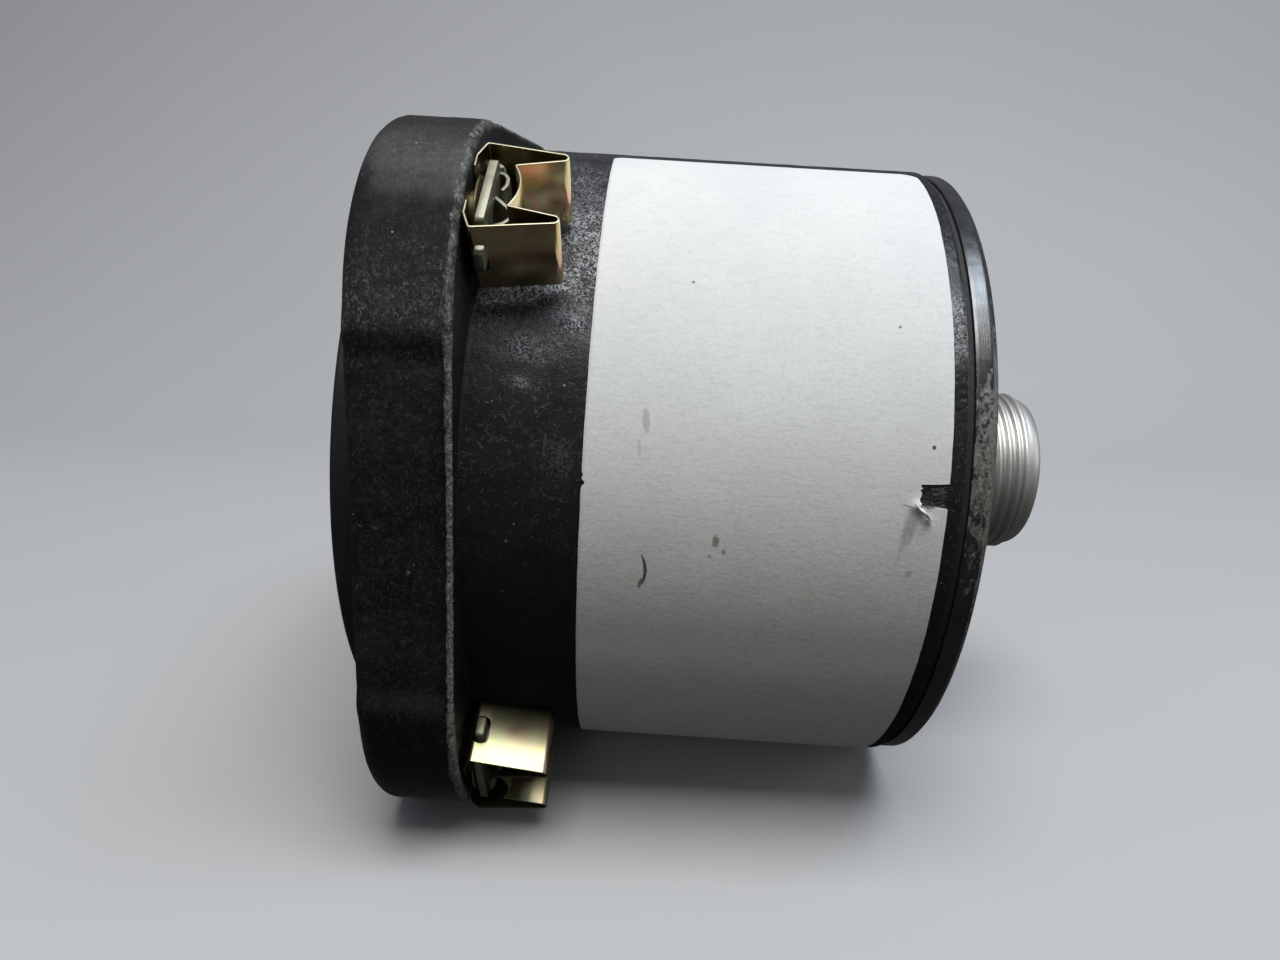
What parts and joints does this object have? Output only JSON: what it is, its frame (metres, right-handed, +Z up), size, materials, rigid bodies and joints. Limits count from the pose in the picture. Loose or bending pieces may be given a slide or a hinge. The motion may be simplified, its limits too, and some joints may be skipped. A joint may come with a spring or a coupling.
{
  "type": "cylinder head temperature gauge",
  "caption": "Panel-mounted moving-coil temperature gauge with a square flange, captive mounting nuts, a zero adjuster and a threaded rear receptacle for a thermocouple lead.",
  "frame": {"origin": "on the instrument's axis, in the plane of the flange's front face, which bears on the back of the panel", "axes": "+Y runs to the rear along the axis, so the dial faces -Y; +Z is up on the dial; +X is to the right for someone reading the dial"},
  "size_m": [0.0826, 0.0848, 0.0826],
  "materials": {
    "case_black": "matt black paint, scuffed",
    "cover_black": "semi-gloss black paint, worn at the edge",
    "bezel_black": "matt black paint",
    "glass": "clear",
    "rubber": "matt",
    "inner_black": "flat black paint",
    "dial_black": "flat black paint",
    "pointer_white": "flat white paint",
    "aluminium": "satin",
    "steel": "bright",
    "black_steel": "oxide black",
    "brass": "turned",
    "magnet": "ground",
    "soft_iron": "plated",
    "spring_bronze": "bright",
    "copper": "enamelled",
    "jewel": "polished",
    "phenolic": "sawn sheet",
    "bobbin": "moulded",
    "wire_red": "insulated",
    "insert": "moulded",
    "contact": "plated",
    "paper": "matt paper",
    "chromate": "yellow passivated",
    "eyelet": "yellow passivated"
  },
  "bodies": {
    "case": {"case_body": "case_black", "bezel_ring": "bezel_black", "cover_glass": "glass", "glass_gasket": "rubber", "reflector_ring": "inner_black", "dial_plate": "dial_black", "dial_screws": "black_steel", "stop_pins": "steel", "mounting_plate": "aluminium", "plate_screws": "steel", "pillars": "brass", "pillar_screws": "steel", "movement_frame": "brass", "frame_screws": "steel", "magnet": "magnet", "pole_pieces": "soft_iron", "iron_core": "soft_iron", "core_supports": "brass", "front_bridge": "brass", "front_bridge_screws": "steel", "front_jewel": "jewel", "rear_bridge": "brass", "rear_bridge_screws": "steel", "rear_jewel_screw": "brass", "jewel_lock_nut": "brass", "rear_spring": "spring_bronze", "terminal_board": "phenolic", "board_posts": "steel", "terminal_posts": "contact", "resistor_bobbins": "bobbin", "resistor_windings": "copper", "lead_wires": "wire_red", "rear_cover": "cover_black", "cover_gasket": "rubber", "cover_screws": "black_steel", "connector_shell": "aluminium", "connector_insert": "insert", "connector_pins": "contact", "connector_gasket": "rubber", "connector_screws": "steel", "paper_label": "paper", "clip_eyelets": "eyelet"},
    "movement": {"pointer": "pointer_white", "front_staff": "steel", "rear_staff": "steel", "coil_former": "aluminium", "coil_winding": "copper"},
    "zero_adjuster": {"zero_adjust_screw": "steel", "adjuster_crank": "brass"},
    "regulator": {"regulator_arm": "brass", "compensating_bimetal": "spring_bronze", "front_spring": "spring_bronze"},
    "clip_1": {"nut_cage_1": "chromate"},
    "nut_1": {"nut_plate_1": "chromate"},
    "clip_2": {"nut_cage_2": "chromate"},
    "nut_2": {"nut_plate_2": "chromate"},
    "clip_3": {"nut_cage_3": "chromate"},
    "nut_3": {"nut_plate_3": "chromate"},
    "clip_4": {"nut_cage_4": "chromate"},
    "nut_4": {"nut_plate_4": "chromate"}
  },
  "joints": [
    {"name": "pointer_swing", "type": "hinge", "parent": "case", "child": "movement", "pos_m": [0, 0.02, 0], "axis": [0, 1, 0], "range_deg": [-6.5, 110.5], "stiffness_Nm_per_rad": 0.00002, "deforming": ["rear_spring", "front_spring"]},
    {"name": "zero_adjust", "type": "hinge", "parent": "case", "child": "zero_adjuster", "pos_m": [0, 0.005, -0.035], "axis": [0, 1, 0], "range_deg": [-20, 20]},
    {"name": "regulator_swing", "type": "hinge", "parent": "case", "child": "regulator", "pos_m": [0, 0.0138, 0], "axis": [0, 1, 0], "range_deg": [-4, 4]},
    {"name": "clip_1_turn", "type": "hinge", "parent": "case", "child": "clip_1", "pos_m": [0.03143, 0.0115, 0.03143], "axis": [0, 1, 0], "range_deg": [-4.5, 13.5]},
    {"name": "nut_1_float", "type": "slide", "parent": "clip_1", "child": "nut_1", "axis": [0, 1, 0], "range_m": [-0.0001, 0.00015]},
    {"name": "clip_2_turn", "type": "hinge", "parent": "case", "child": "clip_2", "pos_m": [0.03143, 0.0115, -0.03143], "axis": [0, 1, 0], "range_deg": [0, 25.5]},
    {"name": "nut_2_float", "type": "slide", "parent": "clip_2", "child": "nut_2", "axis": [0, 1, 0], "range_m": [-0.0001, 0.00015]},
    {"name": "clip_3_turn", "type": "hinge", "parent": "case", "child": "clip_3", "pos_m": [-0.03143, 0.0115, -0.03143], "axis": [0, 1, 0], "range_deg": [-13.5, 4.5]},
    {"name": "nut_3_float", "type": "slide", "parent": "clip_3", "child": "nut_3", "axis": [0, 1, 0], "range_m": [-0.0001, 0.00015]},
    {"name": "clip_4_turn", "type": "hinge", "parent": "case", "child": "clip_4", "pos_m": [-0.03143, 0.0115, 0.03143], "axis": [0, 1, 0], "range_deg": [-6, 12]},
    {"name": "nut_4_float", "type": "slide", "parent": "clip_4", "child": "nut_4", "axis": [0, 1, 0], "range_m": [-0.0001, 0.00015]}
  ],
  "couplings": [
    {"joint": "regulator_swing", "follows": "zero_adjust", "ratio": -0.129}
  ]
}
